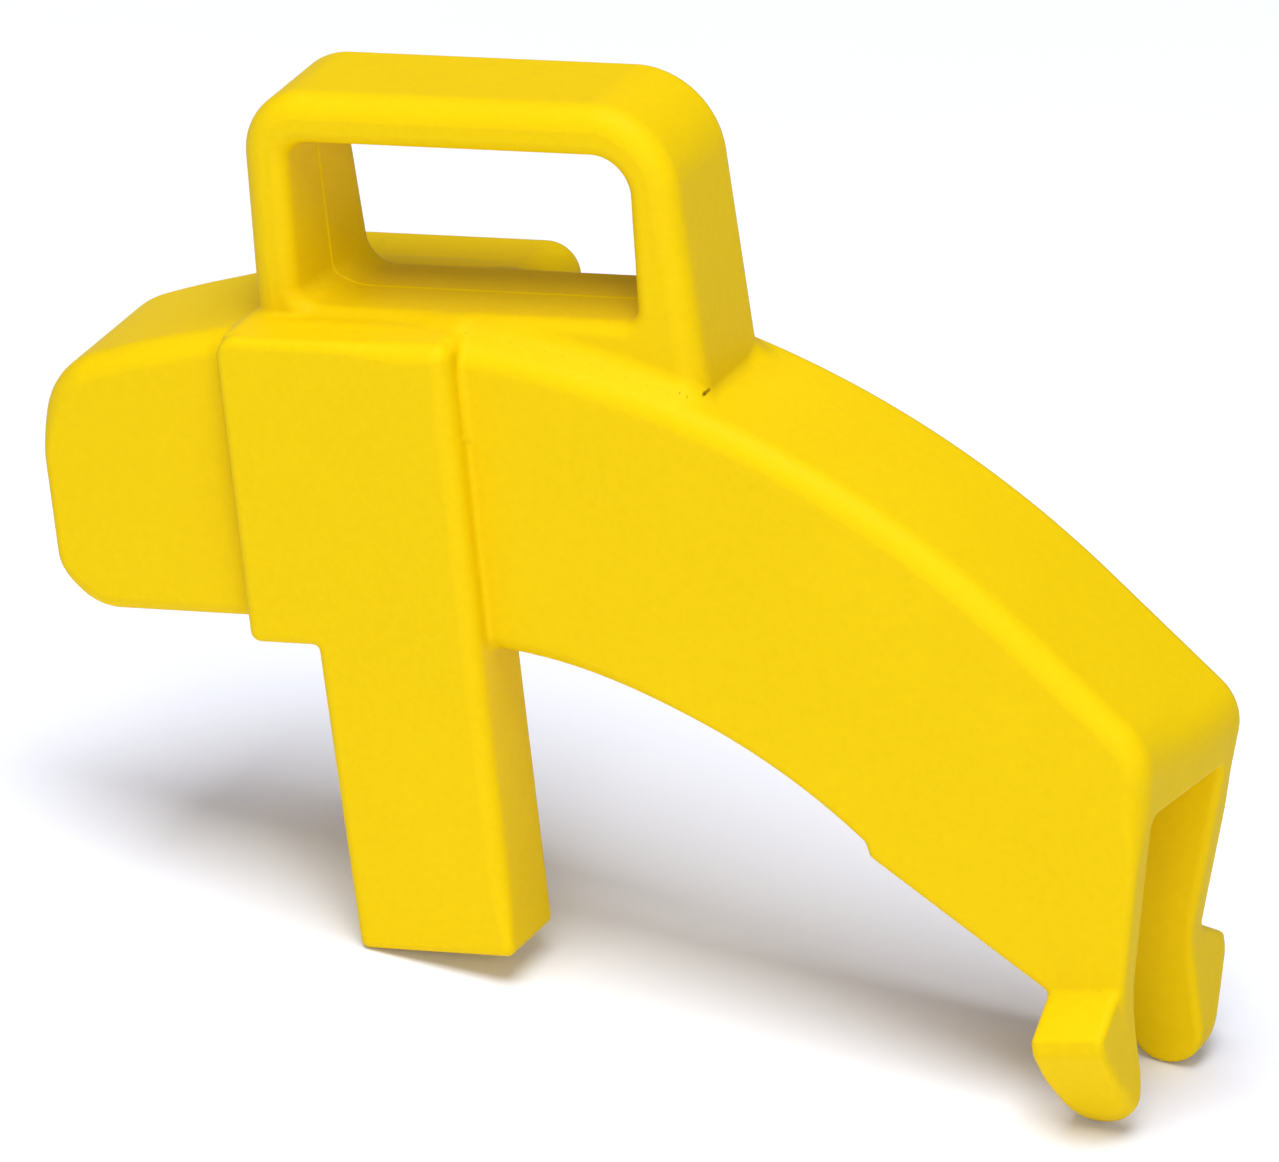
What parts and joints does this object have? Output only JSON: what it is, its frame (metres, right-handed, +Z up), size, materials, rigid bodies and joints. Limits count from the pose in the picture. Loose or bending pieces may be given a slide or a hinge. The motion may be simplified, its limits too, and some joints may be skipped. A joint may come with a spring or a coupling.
{
  "type": "snap-in locking clip",
  "caption": "Arched yellow plastic snap-in clip with a loop pull handle, raised side pads, a locating leg and a forked end of two sprung prongs with catch barbs.",
  "frame": {"origin": "midway between the two catch barbs, level with the tops of their ramps, on the clip's mid-plane", "axes": "+X from the nose towards the forked end, level with the surface; +Y from the face with the leg to the rear face; +Z up. The clip's own long axis rises 11.92 degrees from +X, as it does when the clip is set down on its leg and prong tips."},
  "size_m": [0.0527, 0.0143, 0.0401],
  "materials": {
    "yellow_moulding": "satin moulded plastic with a very fine grain"
  },
  "bodies": {
    "root": {"arch_arm": "yellow_moulding", "pull_handle": "yellow_moulding", "front_side_pad": "yellow_moulding", "rear_side_pad": "yellow_moulding", "locating_leg": "yellow_moulding"},
    "front_prong": {"front_snap_prong": "yellow_moulding", "front_catch_barb": "yellow_moulding"},
    "rear_prong": {"rear_snap_prong": "yellow_moulding", "rear_catch_barb": "yellow_moulding"}
  },
  "joints": [
    {"name": "front_prong_flex", "type": "hinge", "parent": "root", "child": "front_prong", "pos_m": [-0.00386, -0.00375, 0.00619], "axis": [0.9784, 0, 0.2066], "range_deg": [0, 8], "stiffness_Nm_per_rad": 1.05},
    {"name": "rear_prong_flex", "type": "hinge", "parent": "root", "child": "rear_prong", "pos_m": [-0.00386, 0.00375, 0.00619], "axis": [-0.9784, 0, -0.2066], "range_deg": [0, 8], "stiffness_Nm_per_rad": 1.05}
  ]
}
